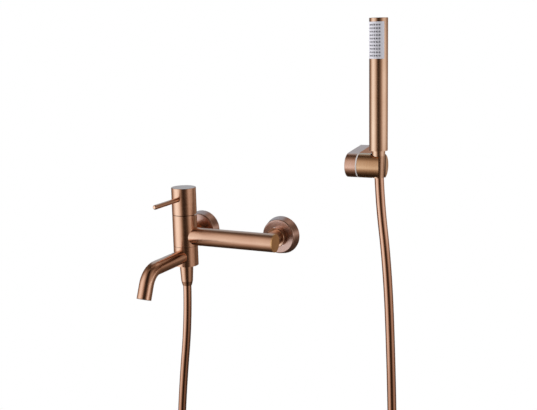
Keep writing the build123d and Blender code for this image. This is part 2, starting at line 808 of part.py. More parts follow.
def make_spout_tube():
    """Bent spout tube with a spigot that sits in the ring."""
    path, end, turn = spout_path(sleeve_outer)
    across = Plane(origin=(0, -sleeve_outer, 0), z_dir=(0, -1, 0))
    tube = sweep(across * Circle(spout_diameter / 2), path=path)
    bore = sweep(across * Circle(spout_bore_diameter / 2), path=path)
    mouth = Plane(origin=end, z_dir=(0, -math.cos(turn), -math.sin(turn)))
    outside = Pos(0, 0, spout_height) * tube - rod_z(barrel_diameter, spout_bottom, spout_top)
    spigot = rod_y(spout_spigot_diameter, -barrel_radius - overrun, -sleeve_outer - seat_gap, 0, spout_height)
    spigot &= ring_z(barrel_diameter + overrun * 4, (sleeve_outer + seat_gap) * 2, spout_bottom, spout_top)
    tube = outside + spigot
    tube -= Pos(0, 0, spout_height) * (bore + mouth * Cylinder(spout_bore_diameter / 2, overrun))
    return at_mixer(tube)


def at_spout_mouth(shape):
    """Places a piece made about +Z at the spout's mouth, +Z pointing out of it."""
    end, turn = spout_path(sleeve_outer)[1:]
    mouth = Plane(origin=end, z_dir=(0, -math.cos(turn), -math.sin(turn)))
    return at_mixer(Pos(0, 0, spout_height) * (mouth * shape))


def make_aerator_shell():
    """Ring of the flow straightener inside the spout's mouth."""
    outer = spout_bore_diameter - seat_gap * 2
    low = -aerator_recess - aerator_length
    return at_spout_mouth(ring_z(outer, outer - aerator_wall * 2, low, -aerator_recess))


def make_aerator_grid():
    """Perforated disc of the flow straightener."""
    outer = spout_bore_diameter - seat_gap * 2 - aerator_wall * 2
    top = -aerator_recess - aerator_wall
    grid = rod_z(outer, top - aerator_mesh, top)
    grid -= rod_z(aerator_hole_diameter, top - aerator_mesh - overrun, top + overrun)
    for radius, count in zip(aerator_hole_circles, aerator_holes_on_circle):
        for i in range(count):
            angle = 2 * math.pi * i / count
            grid -= rod_z(aerator_hole_diameter, top - aerator_mesh - overrun, top + overrun,
                          radius * math.cos(angle), radius * math.sin(angle))
    return at_spout_mouth(grid)


def make_hose_nut():
    """Conical nut that holds the hose under the mixer."""
    top = core_bottom
    bottom = top - hose_nut_length
    cone_from = bottom + hose_nut_cone
    thread = outlet_thread_diameter / 2 + seat_gap
    bore = hose_diameter / 2 + seat_gap
    washer_seat = hose_start
    nut = turned([(thread, top), (hose_nut_top_diameter / 2, top), (hose_nut_low_diameter / 2, cone_from),
                  (hose_nut_mouth_diameter / 2, bottom), (bore, bottom), (bore, washer_seat),
                  (thread, washer_seat)])
    return at_mixer(nut)


def make_hose_washer():
    """Rubber washer at the hose's lower end."""
    return ring_z(outlet_thread_diameter, outlet_bore_diameter, hose_start,
                  hose_start + hose_washer_thickness, 0, mixer_y)


def hose_radii():
    """Radius of each arc of the hose's route, as large as its two runs allow."""
    radii = []
    points = [Vector(*p) for p in hose_route]
    for before, here, after in zip(points, points[1:], points[2:]):
        first = here - before
        second = after - here
        half_turn = math.radians(first.get_angle(second)) / 2
        radii.append(hose_bend_share * min(first.length, second.length) / math.tan(half_turn))
    return radii


def make_hose():
    """Smooth metal hose hanging in one loop from the mixer to the handset."""
    radii = hose_radii()
    path = FilletPolyline(*hose_route, radius=radii)
    across = Plane(origin=hose_route[0], z_dir=Vector(*hose_route[1]) - Vector(*hose_route[0]))
    hose = sweep(across * Circle(hose_diameter / 2), path=path)
    section = math.pi * hose_diameter ** 2 / 4
    print("hose radii", [round(r) for r in radii])
    print("hose length", round(path.length, 1), "volume ratio",
          round(hose.volume / (section * path.length), 4))
    return hose


def mount_pocket(depth, clearance):
    """Space at the arm's wall end, narrower than the arm by its wall and a clearance all round."""
    side = arm_width / 2 - arm_wall - clearance
    half = arm_wall_height / 2 - arm_wall * 2 - clearance
    return block(arm_x - side, arm_x + side, -depth, 0, holder_height - half, holder_height + half)


def make_mount_plate():
    """Plate screwed to the wall, with the boss that carries the holder's arm."""
    plate = mount_pocket(mount_plate_thickness, running_gap)
    boss_front = -mount_plate_thickness - mount_boss_length
    plate += rod_y(mount_boss_diameter, boss_front, -mount_plate_thickness, arm_x, holder_height)
    for side in (-1, 1):
        z = holder_height + side * mount_screw_spacing / 2
        plate -= rod_y(mount_screw_diameter + seat_gap * 2, -mount_plate_thickness - overrun, overrun,
                       arm_x, z)
    return plate


def make_wall_screws():
    """Two screws that hold the plate to the wall."""
    screws = []
    for side in (-1, 1):
        z = holder_height + side * mount_screw_spacing / 2
        head_front = -mount_plate_thickness - mount_screw_head
        screw = rod_y(mount_screw_shank_diameter, -mount_plate_thickness, running_gap, arm_x, z)
        screw += rod_y(mount_screw_diameter, running_gap, mount_screw_into_wall, arm_x, z)
        screw += rod_y(mount_screw_head_diameter, head_front, -mount_plate_thickness, arm_x, z)
        screw -= rod_y(mount_screw_recess_diameter, head_front - overrun,
                       head_front + mount_screw_recess, arm_x, z)
        screws.append(screw)
    return Compound(screws)


def make_holder_arm():
    """Arm that narrows from its wall end, over the mount plate, to the round eye for the fork."""
    eye = rod_x(holder_diameter, arm_left, arm_right, holder_y, holder_height)
    eye = chamfer(eye.edges().group_by(Axis.X)[0], arm_edge)
    wall_half = arm_wall_height / 2
    side = [(holder_y, -holder_radius), (0, -wall_half), (0, wall_half), (holder_y, holder_radius)]
    web = extrude(Plane.YZ * make_face(Polyline(*side, close=True)), arm_width)
    arm = eye + Pos(arm_left, 0, holder_height) * web
    arm -= mount_pocket(mount_plate_thickness + mount_screw_head + running_gap, 0)
    arm -= rod_x(pivot_screw_diameter + pivot_bush_wall * 2 + seat_gap * 2, arm_left, arm_right + overrun,
                 holder_y, holder_height)
    arm -= rod_x(arm_cap_diameter + seat_gap * 2, arm_left - overrun, arm_left + pivot_recess,
                 holder_y, holder_height)
    boss_front = -mount_plate_thickness - mount_boss_length - seat_gap
    arm -= rod_y(mount_boss_diameter + seat_gap * 2, boss_front, 0, arm_x, holder_height)
    arm -= rod_z(grub_diameter + seat_gap * 2, holder_height - wall_half, holder_height,
                 arm_x, -arm_grub_from_wall)
    return arm


def make_arm_grub_screw():
    """Grub screw from below that locks the arm on the plate's boss."""
    top = holder_height - mount_boss_diameter / 2 - seat_gap
    return rod_z(grub_diameter, top - arm_grub_length, top, arm_x, -arm_grub_from_wall)


def make_arm_cap():
    """Disc that closes the pivot's recess at the arm's left side."""
    return rod_x(arm_cap_diameter, arm_left, arm_left + arm_cap_thickness, holder_y, holder_height)


def make_pivot_bush():
    """Plastic bush in the arm for the pivot screw."""
    left = arm_left + pivot_recess
    outer = pivot_screw_diameter + pivot_bush_wall * 2
    bush = rod_x(outer, left, arm_right, holder_y, holder_height)
    return bush - rod_x(pivot_screw_diameter + seat_gap * 2, left - overrun, arm_right + overrun,
                        holder_y, holder_height)


def make_pivot_spring():
    """Spring washer under the pivot screw's head."""
    left = arm_left + pivot_recess - pivot_spring_thickness
    ring = rod_x(pivot_screw_head_diameter, left, arm_left + pivot_recess, holder_y, holder_height)
    return ring - rod_x(pivot_screw_diameter + running_gap * 2, left - overrun,
                        arm_left + pivot_recess + overrun, holder_y, holder_height)


def make_friction_washer():
    """Pale washer between the arm's eye and the turning fork."""
    washer = rod_x(holder_diameter, arm_right, washer_right, holder_y, holder_height)
    return washer - rod_x(pivot_screw_diameter + running_gap * 2, arm_right - overrun,
                          washer_right + overrun, holder_y, holder_height)


def make_pivot_screw():
    """Screw that holds the fork to the arm and turns with it."""
    head_right = arm_left + pivot_recess - pivot_spring_thickness - running_gap
    screw = rod_x(pivot_screw_head_diameter, head_right - pivot_screw_head, head_right,
                  holder_y, holder_height)
    return screw + rod_x(pivot_screw_diameter, head_right, fork_left + pivot_screw_into_fork,
                         holder_y, holder_height)


def cone_at(z):
    """Radius of the handset's cone at a height."""
    fall = (cone_top_diameter - cone_low_diameter) / 2
    return cone_top_diameter / 2 - fall * (cone_taper_top - z) / (cone_taper_top - cone_bottom)


def seat_cone(clearance):
    """Tapered hole of the fork, wider than the handset's cone by a clearance."""
    low = fork_low - overrun
    high = fork_top + overrun
    return turned([(0, low), (cone_at(low) + clearance, low), (cone_at(high) + clearance, high), (0, high)])


def fork_mouth():
    """Wedge that opens the tapered hole to the front and right, just wide enough for the hose."""
    hole = cone_at(holder_height) + running_gap + liner_wall + seat_gap
    half = math.asin(fork_slot / 2 / hole)
    reach = (holder_radius + fork_overhang) / math.cos(half)
    side = reach * math.sin(half)
    far = reach * math.cos(half)
    wedge = make_face(Polyline((0, 0), (far, -side), (far, side), close=True))
    low = fork_low - overrun
    return Pos(0, 0, low) * Rot(0, 0, fork_slot_turn) * extrude(wedge, fork_top + overrun - low)


def make_fork_head():
    """Turning head with the tapered hole and the slot for the hose."""
    head = rod_x(holder_diameter, fork_left, fork_right, holder_y, holder_height)
    head = chamfer(head.edges().group_by(Axis.X)[-1], fork_edge)
    liner_outer = running_gap + liner_wall + seat_gap
    head -= at_handset(seat_cone(liner_outer) + fork_mouth())
    return head - rod_x(pivot_screw_diameter + seat_gap, fork_left - overrun,
                        fork_left + pivot_screw_into_fork + seat_gap, holder_y, holder_height)


def make_fork_liner():
    """Dark plastic liner of the tapered hole, open towards the slot."""
    liner = seat_cone(running_gap + liner_wall) - seat_cone(running_gap) - fork_mouth()
    liner = at_handset(liner)
    return liner & rod_x(holder_diameter - arm_edge, fork_left, fork_right, holder_y, holder_height)


def make_handset_cone():
    """Hollow tapered foot of the handset, which sits in the fork and lets the hose in."""
    bore = hose_diameter / 2 + running_gap
    foot = turned([(bore, cone_bottom), (cone_low_diameter / 2, cone_bottom),
                   (cone_top_diameter / 2, cone_taper_top), (cone_top_diameter / 2, handset_bottom),
                   (handset_inner - seat_gap, handset_bottom), (handset_inner - seat_gap, flange_top),
                   (bore, flange_top)])
    return at_handset(foot)


def make_handset_tube():
    """Outer tube of the handset with the window for the spray face."""
    tube = ring_z(handset_diameter, handset_inner * 2, handset_bottom, handset_top - top_cap_thickness)
    window = sector(handset_radius + overrun, handset_inner - overrun,
                    face_bottom - seat_gap, face_top + seat_gap, face_half_angle)
    return at_handset(tube - Rot(0, 0, face_turn) * window)


def make_top_cap():
    """Flat disc that closes the handset's top."""
    low = handset_top - top_cap_thickness
    cap = rod_z(handset_diameter, low, handset_top)
    cap = chamfer(cap.edges().group_by(Axis.Z)[-1], cap_edge)
    return at_handset(cap + rod_z((handset_inner - seat_gap) * 2, low - top_cap_spigot, low))


def nozzle_places():
    """Height and angle of each nozzle of the spray face."""
    places = []
    for row in range(nozzle_rows):
        z = face_middle + (row - (nozzle_rows - 1) / 2) * nozzle_row_pitch
        for column in range(nozzle_columns):
            places.append((z, (column - (nozzle_columns - 1) / 2) * nozzle_column_angle))
    return places


def nozzle_rods(diameter, inner, outer):
    """One short radial rod at each nozzle."""
    rods = []
    for z, angle in nozzle_places():
        rods.append(Rot(0, 0, angle) * rod_y(diameter, -outer, -inner, 0, z))
    return rods


def make_spray_face():
    """Curved pale face with a hole for each nozzle."""
    side = math.degrees(seat_gap / handset_radius)
    face = sector(handset_radius, face_inner, face_bottom, face_top, face_half_angle - side)
    face -= nozzle_rods(nozzle_hole_diameter, face_inner - overrun, handset_radius + overrun)
    return at_handset(Rot(0, 0, face_turn) * face)


def make_spray_membrane():
    """Soft sheet behind the face, with the nozzles that stand through its holes."""
    sheet = sector(membrane_outer, membrane_inner, face_bottom + membrane_margin,
                   face_top - membrane_margin, face_half_angle - membrane_side_angle)
    middle = (membrane_inner + membrane_outer) / 2
    sheet += nozzle_rods(nozzle_diameter, middle, handset_radius + nozzle_proud)
    return at_handset(Rot(0, 0, face_turn) * sheet)


def make_spray_manifold():
    """Plastic block behind the membrane, with its water chamber."""
    outer = membrane_inner - seat_gap
    low = face_bottom - manifold_below_face
    high = face_top + seat_gap
    block_part = rod_z(outer * 2, low, high)
    chamber = sector(outer + overrun, outer - manifold_wall, face_bottom + manifold_wall,
                     face_top - manifold_wall, face_half_angle - chamber_side_angle)
    block_part -= Rot(0, 0, face_turn) * chamber
    port_height = face_bottom + manifold_wall + manifold_port_diameter
    block_part -= rod_z(manifold_inlet_diameter, low - overrun, port_height + manifold_port_diameter)
    block_part -= Rot(0, 0, face_turn) * rod_y(manifold_port_diameter, -outer, 0, 0, port_height)
    return at_handset(block_part)


def make_upper_hose_nut():
    """Ring nut inside the handset that joins the tail to the hose's end."""
    bore = hose_diameter / 2 + running_gap
    thread = outlet_thread_diameter / 2 + seat_gap
    outer = handset_inner - seat_gap
    nut = turned([(bore, flange_top), (outer, flange_top), (outer, upper_nut_top), (thread, upper_nut_top),
                  (thread, hose_end + running_gap), (bore, hose_end + running_gap)])
    return at_handset(nut)


def make_tail_washer():
    """Rubber washer on the tail, against the hose's end."""
    low = hose_end + running_gap
    return at_handset(ring_z(outlet_thread_diameter, outlet_bore_diameter, low,
                             low + hose_washer_thickness))


def make_inlet_tail():
    """Threaded tail with a collar and the spigot for the inner tube."""
    low = hose_end + running_gap + hose_washer_thickness
    high = low + tail_length
    outer = handset_inner - seat_gap
    spigot = tail_spigot_diameter / 2
    tail = turned([(0, low), (outlet_thread_diameter / 2, low), (outlet_thread_diameter / 2, upper_nut_top),
                   (outer, upper_nut_top), (outer, upper_nut_top + tail_collar),
                   (spigot, upper_nut_top + tail_collar), (spigot, high), (0, high)])
    return at_handset(tail - rod_z(tail_bore_diameter, low - overrun, high + overrun))


def make_inner_tube():
    """Plastic tube that carries the water up to the manifold."""
    low = upper_nut_top + tail_collar + seat_gap
    high = face_bottom - manifold_below_face
    bore = tail_spigot_diameter + seat_gap * 2
    return at_handset(ring_z(bore + inner_tube_wall * 2, bore, low, high))


makers = {
    "mixer_body": make_mixer_body,
    "bar_end_plug": make_bar_plug,
    "bar_plug_seal": make_bar_plug_seal,
    "union_left": lambda: make_union(0),
    "union_right": lambda: make_union(inlet_pitch),
    "coupling_nut_left": lambda: make_coupling_nut(0),
    "coupling_nut_right": lambda: make_coupling_nut(inlet_pitch),
    "union_gaskets": make_gaskets,
    "escutcheon_left": lambda: make_escutcheon(0),
    "escutcheon_right": lambda: make_escutcheon(inlet_pitch),
    "check_valve_bodies": make_check_valve_bodies,
    "check_valve_poppets": make_poppets,
    "cartridge_housing": make_cartridge_housing,
    "cartridge_base": make_cartridge_base,
    "port_seal": make_port_seal,
    "fixed_ceramic_disc": make_fixed_disc,
    "moving_ceramic_disc": make_moving_disc,
    "disc_driver": make_disc_driver,
    "stem_carrier": make_stem_carrier,
    "pivot_pin": make_pivot_pin,
    "valve_stem": make_valve_stem,
    "retaining_nut": make_retaining_nut,
    "dome_cover": make_dome_cover,
    "handle_cap": make_handle_cap,
    "lever_pin": make_lever_pin,
    "handle_grub_screw": make_handle_screw,
    "screw_plug": make_screw_plug,
    "outlet_core": make_outlet_core,
    "core_seal_rings": make_core_rings,
    "slip_ring": make_slip_ring,
    "diverter_sleeve": make_diverter_sleeve,
    "spout_ring": make_spout_ring,
    "spout_tube": make_spout_tube,
    "aerator_shell": make_aerator_shell,
    "aerator_grid": make_aerator_grid,
    "hose_nut": make_hose_nut,
    "hose_washer": make_hose_washer,
    "hose": make_hose,
    "mount_plate": make_mount_plate,
    "wall_screws": make_wall_screws,
    "holder_arm": make_holder_arm,
    "arm_grub_screw": make_arm_grub_screw,
    "arm_cap": make_arm_cap,
    "pivot_bush": make_pivot_bush,
    "pivot_spring_washer": make_pivot_spring,
    "friction_washer": make_friction_washer,
    "pivot_screw": make_pivot_screw,
    "fork_head": make_fork_head,
    "fork_liner": make_fork_liner,
    "handset_cone": make_handset_cone,
    "handset_tube": make_handset_tube,
    "handset_top_cap": make_top_cap,
    "spray_face": make_spray_face,
    "spray_membrane": make_spray_membrane,
    "spray_manifold": make_spray_manifold,
    "upper_hose_nut": make_upper_hose_nut,
    "tail_washer": make_tail_washer,
    "inlet_tail": make_inlet_tail,
    "inner_tube": make_inner_tube,
}

for name, make in makers.items():
    export_step(make(), f"parts/{name}.step")
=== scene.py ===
# %% [markdown]
# A wall mixer for a bath, with a stick handset in a swivelling fork and a smooth hose between them.
# Nearly all that shows has one finish: brass with a brushed copper coat. The solids come from the
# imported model, so this script makes the hose, the tips of the nozzles, the finishes and the studio.

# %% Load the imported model
import math

import bpy
from mathutils import Matrix, Vector


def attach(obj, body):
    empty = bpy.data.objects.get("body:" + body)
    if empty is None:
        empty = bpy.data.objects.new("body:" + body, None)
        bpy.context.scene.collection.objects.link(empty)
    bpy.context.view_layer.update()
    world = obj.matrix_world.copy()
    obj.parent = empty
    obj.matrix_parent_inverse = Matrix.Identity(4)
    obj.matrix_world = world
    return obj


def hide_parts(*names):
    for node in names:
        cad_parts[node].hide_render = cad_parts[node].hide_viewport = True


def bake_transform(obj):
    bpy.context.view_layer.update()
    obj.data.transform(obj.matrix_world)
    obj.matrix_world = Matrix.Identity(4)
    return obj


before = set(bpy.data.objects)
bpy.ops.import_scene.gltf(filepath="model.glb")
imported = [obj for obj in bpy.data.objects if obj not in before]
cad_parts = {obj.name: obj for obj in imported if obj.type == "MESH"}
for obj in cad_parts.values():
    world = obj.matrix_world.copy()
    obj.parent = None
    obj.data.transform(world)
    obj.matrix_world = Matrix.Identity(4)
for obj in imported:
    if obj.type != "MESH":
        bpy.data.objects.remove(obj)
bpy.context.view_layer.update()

MM = 0.001

# %% [markdown]
# The camera stands to the right of the mixer and a little above it. It could be placed by eye, but
# known sizes give a surer way: the inlets are 150 mm apart and the barrel is 41 mm wide, and the
# camera's place and lens were fitted to the photograph with them. The picture also leans by a little
# more than a degree, so the camera is rolled by as much. The sensor's width and the lens are in
# millimetres, as Blender takes them.

# %% Camera
AIM = Vector((125.974, 0, 48.614)) * MM
AZIMUTH = math.radians(25.826)
ELEVATION = math.radians(10.671)
ROLL = math.radians(-1.264)
DISTANCE = 1505.2 * MM
SENSOR_WIDTH = 36
LENS = 60.64


def towards(azimuth, elevation):
    """Unit vector away from the aim. Azimuth 0 is straight out of the wall and grows to the right."""
    flat = math.cos(elevation)
    return Vector((math.sin(azimuth) * flat, -math.cos(azimuth) * flat, math.sin(elevation)))


def make_camera():
    """Camera with its own axes: right, up and back, turned by the roll."""
    back = towards(AZIMUTH, ELEVATION)
    right = Vector((math.cos(AZIMUTH), math.sin(AZIMUTH), 0))
    up = back.cross(right)
    rolled_right = right * math.cos(ROLL) + up * math.sin(ROLL)
    rolled_up = up * math.cos(ROLL) - right * math.sin(ROLL)
    data = bpy.data.cameras.new("camera")
    data.lens = LENS
    data.sensor_width = SENSOR_WIDTH
    data.sensor_fit = "HORIZONTAL"
    camera = bpy.data.objects.new("camera", data)
    bpy.context.scene.collection.objects.link(camera)
    turn = Matrix((rolled_right, rolled_up, back)).transposed().to_4x4()
    camera.matrix_world = Matrix.Translation(AIM + back * DISTANCE) @ turn
    return camera


bpy.context.scene.camera = make_camera()
print("camera at", [round(c, 4) for c in bpy.context.scene.camera.matrix_world.translation])

# %% [markdown]
# The hose is a lined tube with a smooth metal-look skin, 14 mm thick and 1.5 m long. It hangs in one
# loop from the nut under the mixer up into the handset. A simulated rope would hang well too, but it
# wouldn't pass through the places that the photograph shows. So the hose is a curve, and a round bevel
# gives it one even skin. Its control points, in millimetres, follow the hose where the photograph
# shows it, and under the photograph's lower edge they make a hanging loop. The curve becomes a mesh.

# %% Hose
HOSE_DIAMETER = 14 * MM
BARREL_AXIS = (0.0, -61.5)
HANDSET_AXIS = (336.7, -55.7)
HOSE_ROUTE = [
    (*BARREL_AXIS, -60.1),
    (0.8, -61.5, -133.0),
    (-17.6, -62.0, -277.0),
    (-25.0, -64.0, -392.0),
    (-3.0, -67.0, -489.0),
    (54.0, -70.0, -562.0),
    (136.0, -72.0, -594.0),
    (222.0, -71.0, -585.0),
    (301.0, -68.0, -533.6),
    (350.0, -64.0, -446.0),
    (362.0, -60.0, -330.0),
    (358.3, -57.0, -190.0),
    (351.8, -55.7, -30.0),
    (*HANDSET_AXIS, 98.0),
    (*HANDSET_AXIS, 168.0),
]
HOSE_ORDER = 3
HOSE_STEPS = 16
HOSE_ROUNDING = 6


def curve_object(name, points, radius):
    """Open smooth curve that follows the control points, which are in millimetres."""
    data = bpy.data.curves.new(name, "CURVE")
    data.dimensions = "3D"
    data.resolution_u = HOSE_STEPS
    data.bevel_depth = radius
    data.bevel_resolution = HOSE_ROUNDING
    data.use_fill_caps = radius > 0
    spline = data.splines.new("NURBS")
    spline.points.add(len(points) - 1)
    for point, place in zip(spline.points, points):
        point.co = (*(Vector(place) * MM), 1)
    spline.order_u = HOSE_ORDER
    spline.use_endpoint_u = True
    made = bpy.data.objects.new(name, data)
    bpy.context.scene.collection.objects.link(made)
    return made


def as_mesh(source, name):
    """The evaluated object as a plain mesh object. The source is removed."""
    bpy.context.view_layer.update()
    graph = bpy.context.evaluated_depsgraph_get()
    mesh = bpy.data.meshes.new_from_object(source.evaluated_get(graph))
    mesh.name = name
    bpy.data.objects.remove(source)
    made = bpy.data.objects.new(name, mesh)
    bpy.context.scene.collection.objects.link(made)
    return made


def make_hose():
    """Smooth hose and the points of its centre line."""
    line = as_mesh(curve_object("hose_line", HOSE_ROUTE, 0), "hose_line")
    path = [tuple(v.co) for v in line.data.vertices]
    bpy.data.objects.remove(line)
    tube = as_mesh(curve_object("hose_skin", HOSE_ROUTE, HOSE_DIAMETER / 2), "hose_skin")
    tube.data.shade_smooth()
    return tube, path


hose, hose_path = make_hose()
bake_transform(hose)
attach(hose, "fixed")
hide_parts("hose")
print("hose points", len(hose_path), "faces", len(hose.data.polygons))

# %% [markdown]
# Each finish is built from nodes. Colours are written as the sRGB values that one reads off a screen,
# and one function turns them to the linear values that Blender calculates with. A second function adds
# a node with its settings and its links, so that each finish below reads as a list of nodes.

# %% Colour and node helpers


def colour(code):
    """Linear colour from an sRGB hex code."""
    parts = [int(code[i:i + 2], 16) / 255 for i in (1, 3, 5)]
    linear = [p / 12.92 if p <= 0.04045 else ((p + 0.055) / 1.055) ** 2.4 for p in parts]
    return (*linear, 1)


def add_node(tree, kind, settings=None, inputs=None):
    """Adds one node. Settings are its properties, and inputs are values or sockets to link from."""
    node = tree.nodes.new(kind)
    for name, value in (settings or {}).items():
        setattr(node, name, value)
    for name, value in (inputs or {}).items():
        if isinstance(value, bpy.types.NodeSocket):
            tree.links.new(value, node.inputs[name])
        else:
            node.inputs[name].default_value = value
    return node


def new_material(name):
    """Empty node material with its output and its main shader."""
    material = bpy.data.materials.new(name)
    material.use_nodes = True
    tree = material.node_tree
    tree.nodes.clear()
    shader = add_node(tree, "ShaderNodeBsdfPrincipled")
    add_node(tree, "ShaderNodeOutputMaterial", inputs={"Surface": shader.outputs["BSDF"]})
    return material, tree, shader


print("middle grey on the screen is", round(colour("#808080")[0], 3), "in linear light")

# %% [markdown]
# Brushed copper here is brass with a thin copper-coloured coat. Before the coat each piece was turned
# against fine grit, which leaves short shallow scratches round it, and they blur what the metal
# mirrors. Metal keeps the default IOR, its metallic value is 1, and this coat's roughness is near 0.2.
# An anisotropic shader could draw such a finish too, but it needs a direction on each surface. A noise
# that is stretched into streaks works on any turned piece: close lines along the piece's own axis, and
# long streaks round it. Real scratches are about 0.1 mm apart, too fine for this picture, so they are
# drawn about 0.4 mm apart. A second, wide noise makes the colour a little uneven.

# %% Brushed copper
SCRATCH_PITCH = 0.4 * MM
SCRATCH_DEPTH = 0.05 * MM
SCRATCH_SPAN = (0.3, 0.7)
SCRATCH_SHARE = 0.6
STREAK_LENGTH = 30 * MM
PATCH_SIZE = 60 * MM
TINT_SPAN = (0.55, 1.05)
GLOSS_SPAN = (-0.05, 0.07)
BAR_START = 21 * MM


def brushed_copper(name, axis, light="#E7BEA1", dark="#DCAF93", roughness=0.2, bump=0.015, bar=0):
    """Satin copper coat with fine scratches square to the given axis, 0 for X, 1 for Y and 2 for Z.

    The value bar says how much rougher the bar, which begins right of the barrel, is than the rest.
    """
    material, tree, shader = new_material(name)
    place = add_node(tree, "ShaderNodeTexCoord")
    stretch = [1 / STREAK_LENGTH] * 3
    stretch[axis] = 1 / SCRATCH_PITCH
    lines = add_node(tree, "ShaderNodeMapping",
                     inputs={"Vector": place.outputs["Object"], "Scale": stretch})
    scratches = add_node(tree, "ShaderNodeTexNoise",
                         inputs={"Vector": lines.outputs["Vector"], "Scale": 1, "Detail": 3,
                                 "Roughness": 0.6})
    patches = add_node(tree, "ShaderNodeTexNoise",
                       inputs={"Vector": place.outputs["Object"], "Scale": 1 / PATCH_SIZE, "Detail": 2})
    blend = add_node(tree, "ShaderNodeMath", {"operation": "MULTIPLY_ADD"},
                     {0: scratches.outputs["Fac"], 1: SCRATCH_SHARE, 2: patches.outputs["Fac"]})
    share = add_node(tree, "ShaderNodeMapRange",
                     inputs={"Value": blend.outputs["Value"], "From Min": TINT_SPAN[0],
                             "From Max": TINT_SPAN[1]})
    tint = add_node(tree, "ShaderNodeMix", {"data_type": "RGBA"}, {"Factor": share.outputs["Result"]})
    tint.inputs["A"].default_value = colour(dark)
    tint.inputs["B"].default_value = colour(light)
    tree.links.new(tint.outputs["Result"], shader.inputs["Base Color"])
    rough = add_node(tree, "ShaderNodeMapRange",
                     inputs={"Value": scratches.outputs["Fac"],
                             "From Min": SCRATCH_SPAN[0], "From Max": SCRATCH_SPAN[1],
                             "To Min": roughness + GLOSS_SPAN[0], "To Max": roughness + GLOSS_SPAN[1]})
    gloss = rough.outputs["Result"]
    if bar:
        along = add_node(tree, "ShaderNodeSeparateXYZ", inputs={0: place.outputs["Object"]})
        rougher = add_node(tree, "ShaderNodeMapRange",
                           inputs={"Value": along.outputs["X"], "From Min": BAR_START,
                                   "From Max": BAR_START * 2, "To Max": bar})
        total = add_node(tree, "ShaderNodeMath", {"operation": "ADD"},
                         {0: gloss, 1: rougher.outputs["Result"]})
        gloss = total.outputs["Value"]
    tree.links.new(gloss, shader.inputs["Roughness"])
    relief = add_node(tree, "ShaderNodeBump", inputs={"Strength": bump, "Distance": SCRATCH_DEPTH,
                                                      "Height": scratches.outputs["Fac"]})
    tree.links.new(relief.outputs["Normal"], shader.inputs["Normal"])
    shader.inputs["Metallic"].default_value = 1
    return material


print("a streak is", round(STREAK_LENGTH / SCRATCH_PITCH), "times as long as it is wide")

# %% [markdown]
# The same coat differs a little from piece to piece, because each was brushed by itself. So each group
# of pieces has its own two colours and its own roughness, and its scratches run round its own axis. The
# bar is rougher than the barrel it grows from, and its end is the coarsest and the most golden. The
# wall plates lean to pink, and the hose's skin isn't brushed, so it is the smoothest. The dome cover
# behind the cap's seam has the same coat, but it is coloured dark brown as painted shade for the seam.

# %% Copper finishes
copper_upright = brushed_copper("brushed copper, upright pieces", 2)
copper_body = brushed_copper("brushed copper, mixer body", 2, bar=0.11)
copper_outward = brushed_copper("brushed copper, pieces out of the wall", 1, "#F0C7AA", "#E4B79B",
                                0.19)
copper_holder = brushed_copper("brushed copper, holder", 0, "#F2CFAA", "#DDB48C", 0.22)
copper_eye = brushed_copper("brushed copper, holder's eye", 0, "#F2CDB8", "#DDB19A", 0.24)
copper_end = brushed_copper("brushed copper, bar's end", 1, "#F8CB94", "#DBAA72", 0.42)
copper_plate = brushed_copper("brushed copper, wall plates", 1, "#DCBCAE", "#C6A294", 0.28)
# The dome cover has the same coat as the rest. Its dark brown is painted shade for the shadow in the
# cap's seam.
copper_shaded = brushed_copper("copper painted dark as shade behind the cap's seam", 2, "#5E3B2A", "#44291C", 0.5)
copper_handset = brushed_copper("brushed copper, handset", 2, "#E9C6AA", "#DBB496")
copper_hose = brushed_copper("smooth copper skin of the hose", 1, "#DDB095", "#D3A58A", 0.16, 0.01)
print("copper finishes", len([m for m in bpy.data.materials if "copper" in m.name]))

# %% [markdown]
# The other pieces are plain: cast brass and turned steel inside, a pale silicone face with dark
# nozzles, a white acetal washer, black acetal in the fork and black rubber seals. Cast brass is dull
# and yellow, turned steel is grey and brighter, and the plastics scatter light softly. Each could have
# its own nodes, but all have a fine uneven grain from the mould or the tool, so one function makes
# them. The grain is about 0.1 mm wide, too fine for this picture, so it is drawn 0.6 mm wide. A moulded
# plastic has a roughness near 0.5 and an IOR of about 1.5.

# %% Plain finishes
GRAIN = 0.6 * MM
GRAIN_DEPTH = 0.1 * MM
GRAIN_BUMP = 0.1
GRAIN_GLOSS = 0.05


def grained(name, light, dark, roughness, metallic=0, ior=1.5):
    """Moulded or cast finish with a fine uneven grain in its colour, gloss and relief."""
    material, tree, shader = new_material(name)
    place = add_node(tree, "ShaderNodeTexCoord")
    noise = add_node(tree, "ShaderNodeTexNoise", inputs={"Vector": place.outputs["Object"],
                                                         "Scale": 1 / GRAIN, "Detail": 3})
    tint = add_node(tree, "ShaderNodeMix", {"data_type": "RGBA"}, {"Factor": noise.outputs["Fac"]})
    tint.inputs["A"].default_value = colour(dark)
    tint.inputs["B"].default_value = colour(light)
    tree.links.new(tint.outputs["Result"], shader.inputs["Base Color"])
    rough = add_node(tree, "ShaderNodeMapRange",
                     inputs={"Value": noise.outputs["Fac"], "To Min": roughness - GRAIN_GLOSS,
                             "To Max": roughness + GRAIN_GLOSS})
    tree.links.new(rough.outputs["Result"], shader.inputs["Roughness"])
    relief = add_node(tree, "ShaderNodeBump", inputs={"Strength": GRAIN_BUMP, "Distance": GRAIN_DEPTH,
                                                      "Height": noise.outputs["Fac"]})
    tree.links.new(relief.outputs["Normal"], shader.inputs["Normal"])
    shader.inputs["Metallic"].default_value = metallic
    if not metallic:
        shader.inputs["IOR"].default_value = ior
    return material


